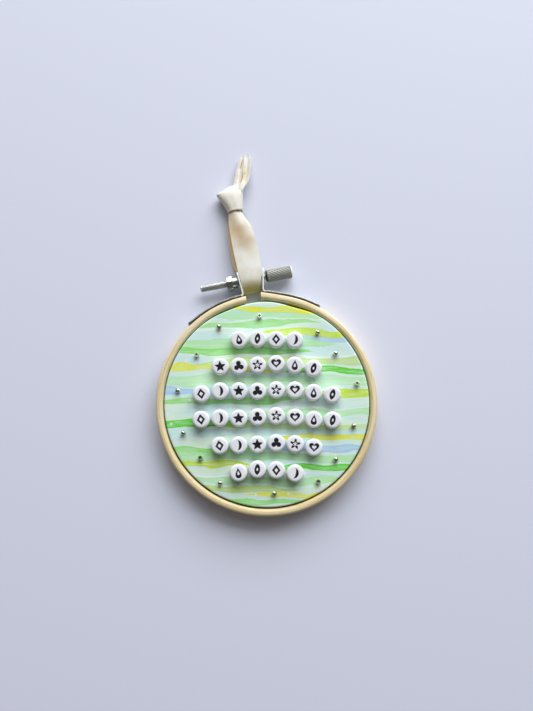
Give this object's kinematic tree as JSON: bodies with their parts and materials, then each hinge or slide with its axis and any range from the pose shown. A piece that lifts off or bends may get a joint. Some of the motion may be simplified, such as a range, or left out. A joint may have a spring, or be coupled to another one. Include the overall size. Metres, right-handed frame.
{
  "type": "embroidery hoop with beaded cloth",
  "caption": "Small wooden embroidery hoop with a watercolour-striped cloth, rows of round white beads, a screw clamp and a knotted cream ribbon loop to hang it by.",
  "frame": {"origin": "middle of the bounding box, on the surface that the hoop lies on; the hoop's own centre is 30.9 mm towards -Y", "axes": "+Z out of the cloth's face, +Y from the hoop towards its screw and hanging ribbon, +X to the right as it is looked at"},
  "size_m": [0.09, 0.1518, 0.0115],
  "materials": {
    "wood": "bare pale bamboo, satin",
    "printed_cotton": "plain-weave cotton printed with wavy green, yellow and pale blue watercolour strokes",
    "steel": "zinc plated, slightly dull",
    "ribbon": "soft cream cotton tape",
    "coin_bead": "moulded white acrylic with a black mark on each face",
    "seed_bead": "bright silver-coated glass"
  },
  "bodies": {
    "hoop": {"outer_ring": "wood", "inner_ring": "wood", "cloth": "printed_cotton", "strap_left": "steel", "strap_right": "steel", "lock_nut": "steel", "ribbon": "ribbon", "coin_bead_01": "coin_bead", "coin_bead_02": "coin_bead", "coin_bead_03": "coin_bead", "coin_bead_04": "coin_bead", "coin_bead_05": "coin_bead", "coin_bead_06": "coin_bead", "coin_bead_07": "coin_bead", "coin_bead_08": "coin_bead", "coin_bead_09": "coin_bead", "coin_bead_10": "coin_bead", "coin_bead_11": "coin_bead", "coin_bead_12": "coin_bead", "coin_bead_13": "coin_bead", "coin_bead_14": "coin_bead", "coin_bead_15": "coin_bead", "coin_bead_16": "coin_bead", "coin_bead_17": "coin_bead", "coin_bead_18": "coin_bead", "coin_bead_19": "coin_bead", "coin_bead_20": "coin_bead", "coin_bead_21": "coin_bead", "coin_bead_22": "coin_bead", "coin_bead_23": "coin_bead", "coin_bead_24": "coin_bead", "coin_bead_25": "coin_bead", "coin_bead_26": "coin_bead", "coin_bead_27": "coin_bead", "coin_bead_28": "coin_bead", "coin_bead_29": "coin_bead", "coin_bead_30": "coin_bead", "coin_bead_31": "coin_bead", "coin_bead_32": "coin_bead", "coin_bead_33": "coin_bead", "coin_bead_34": "coin_bead", "coin_bead_35": "coin_bead", "coin_bead_36": "coin_bead", "seed_bead_01": "seed_bead", "seed_bead_02": "seed_bead", "seed_bead_03": "seed_bead", "seed_bead_04": "seed_bead", "seed_bead_05": "seed_bead", "seed_bead_06": "seed_bead", "seed_bead_07": "seed_bead", "seed_bead_08": "seed_bead", "seed_bead_09": "seed_bead", "seed_bead_10": "seed_bead", "seed_bead_11": "seed_bead", "seed_bead_12": "seed_bead", "seed_bead_13": "seed_bead", "seed_bead_14": "seed_bead"},
    "thumb_screw": {"thumb_screw": "steel"}
  },
  "joints": [
    {"name": "thumb_screw_turn", "type": "hinge", "parent": "hoop", "child": "thumb_screw", "pos_m": [-0.0065, 0.021, 0.004], "axis": [0.9814, 0.1918, 0], "continuous": true}
  ]
}
